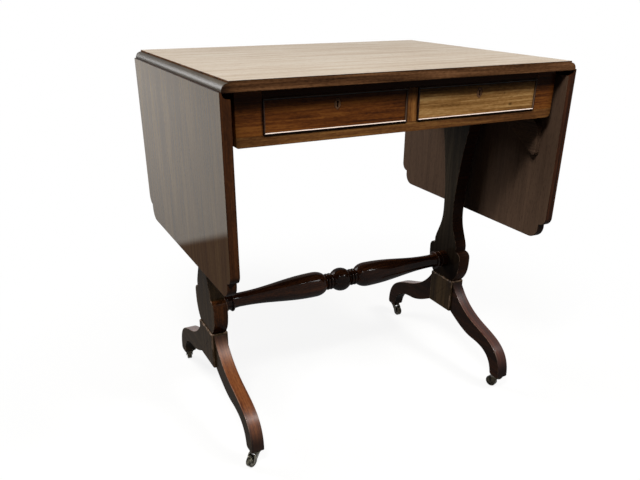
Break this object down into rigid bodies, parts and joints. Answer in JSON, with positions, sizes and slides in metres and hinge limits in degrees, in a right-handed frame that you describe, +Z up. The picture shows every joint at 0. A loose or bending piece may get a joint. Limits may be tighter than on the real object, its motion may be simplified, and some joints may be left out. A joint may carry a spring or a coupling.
{
  "type": "sofa table",
  "caption": "Mahogany sofa table with a rule-jointed drop leaf at each end, frieze drawers, shaped trestle ends on curved legs with castors and a turned stretcher.",
  "frame": {"origin": "on the floor below the middle of the top", "axes": "+Z up, -Y towards the side the drawers open, +X to the right as seen from that side"},
  "size_m": [0.691, 0.524, 0.72],
  "materials": {
    "mahogany": "dark red-brown mahogany, french polished, worn on the arrises",
    "figured_mahogany": "figured golden-brown mahogany veneer, polished",
    "drawer_oak": "unpolished drawer lining",
    "aged_brass": "tarnished",
    "hinge_iron": "dark"
  },
  "bodies": {
    "table": {"back_rail": "figured_mahogany", "centre_runner": "drawer_oak", "drawer_division": "figured_mahogany", "front_lower_rail": "figured_mahogany", "front_upper_rail": "figured_mahogany", "left_back_castor_plate": "aged_brass", "left_back_fly": "mahogany", "left_back_hinge_fixed_flap": "hinge_iron", "left_back_leg": "mahogany", "left_bearer": "mahogany", "left_block": "mahogany", "left_end_rail": "mahogany", "left_front_castor_plate": "aged_brass", "left_front_fly": "mahogany", "left_front_hinge_fixed_flap": "hinge_iron", "left_front_leg": "mahogany", "left_front_stile": "figured_mahogany", "left_standard": "mahogany", "right_back_castor_plate": "aged_brass", "right_back_fly": "mahogany", "right_back_hinge_fixed_flap": "hinge_iron", "right_back_leg": "mahogany", "right_bearer": "mahogany", "right_block": "mahogany", "right_end_rail": "mahogany", "right_front_castor_plate": "aged_brass", "right_front_fly": "mahogany", "right_front_hinge_fixed_flap": "hinge_iron", "right_front_leg": "mahogany", "right_front_stile": "figured_mahogany", "right_standard": "mahogany", "stretcher": "mahogany", "top_board": "mahogany"},
    "left_leaf": {"left_back_hinge_leaf_flap": "hinge_iron", "left_front_hinge_leaf_flap": "hinge_iron", "left_leaf": "mahogany"},
    "right_leaf": {"right_back_hinge_leaf_flap": "hinge_iron", "right_front_hinge_leaf_flap": "hinge_iron", "right_leaf": "mahogany"},
    "left_drawer": {"left_drawer_back": "drawer_oak", "left_drawer_bead": "figured_mahogany", "left_drawer_bottom": "drawer_oak", "left_drawer_front": "figured_mahogany", "left_drawer_inner_side": "drawer_oak", "left_drawer_outer_side": "drawer_oak"},
    "right_drawer": {"right_drawer_back": "drawer_oak", "right_drawer_bead": "figured_mahogany", "right_drawer_bottom": "drawer_oak", "right_drawer_front": "figured_mahogany", "right_drawer_inner_side": "drawer_oak", "right_drawer_outer_side": "drawer_oak"},
    "left_front_castor": {"left_front_castor_horn": "aged_brass"},
    "left_front_wheel": {"left_front_castor_wheel": "aged_brass"},
    "left_back_castor": {"left_back_castor_horn": "aged_brass"},
    "left_back_wheel": {"left_back_castor_wheel": "aged_brass"},
    "right_front_castor": {"right_front_castor_horn": "aged_brass"},
    "right_front_wheel": {"right_front_castor_wheel": "aged_brass"},
    "right_back_castor": {"right_back_castor_horn": "aged_brass"},
    "right_back_wheel": {"right_back_castor_wheel": "aged_brass"}
  },
  "joints": [
    {"name": "left_leaf_hinge", "type": "hinge", "parent": "table", "child": "left_leaf", "pos_m": [-0.331, 0, 0.7055], "axis": [0, 1, 0], "range_deg": [0, 90]},
    {"name": "right_leaf_hinge", "type": "hinge", "parent": "table", "child": "right_leaf", "pos_m": [0.331, 0, 0.7055], "axis": [0, -1, 0], "range_deg": [0, 90]},
    {"name": "left_drawer_slide", "type": "slide", "parent": "table", "child": "left_drawer", "axis": [0, -1, 0], "range_m": [0, 0.3]},
    {"name": "right_drawer_slide", "type": "slide", "parent": "table", "child": "right_drawer", "axis": [0, -1, 0], "range_m": [0, 0.3]},
    {"name": "left_front_castor_swivel", "type": "hinge", "parent": "table", "child": "left_front_castor", "pos_m": [-0.301, -0.2185, 0.027], "axis": [0, 0, 1], "continuous": true},
    {"name": "left_front_wheel_spin", "type": "hinge", "parent": "left_front_castor", "child": "left_front_wheel", "pos_m": [-0.31287, -0.22592, 0.0125], "axis": [0.5299, -0.848, 0], "continuous": true},
    {"name": "left_back_castor_swivel", "type": "hinge", "parent": "table", "child": "left_back_castor", "pos_m": [-0.301, 0.2185, 0.027], "axis": [0, 0, 1], "continuous": true},
    {"name": "left_back_wheel_spin", "type": "hinge", "parent": "left_back_castor", "child": "left_back_wheel", "pos_m": [-0.29809, 0.23219, 0.0125], "axis": [-0.9781, 0.2079, 0], "continuous": true},
    {"name": "right_front_castor_swivel", "type": "hinge", "parent": "table", "child": "right_front_castor", "pos_m": [0.301, -0.2185, 0.027], "axis": [0, 0, 1], "continuous": true},
    {"name": "right_front_wheel_spin", "type": "hinge", "parent": "right_front_castor", "child": "right_front_wheel", "pos_m": [0.29691, -0.20511, 0.0125], "axis": [-0.9563, -0.2924, 0], "continuous": true},
    {"name": "right_back_castor_swivel", "type": "hinge", "parent": "table", "child": "right_back_castor", "pos_m": [0.301, 0.2185, 0.027], "axis": [0, 0, 1], "continuous": true},
    {"name": "right_back_wheel_spin", "type": "hinge", "parent": "right_back_castor", "child": "right_back_wheel", "pos_m": [0.301, 0.2045, 0.0125], "axis": [1, 0, 0], "continuous": true}
  ]
}
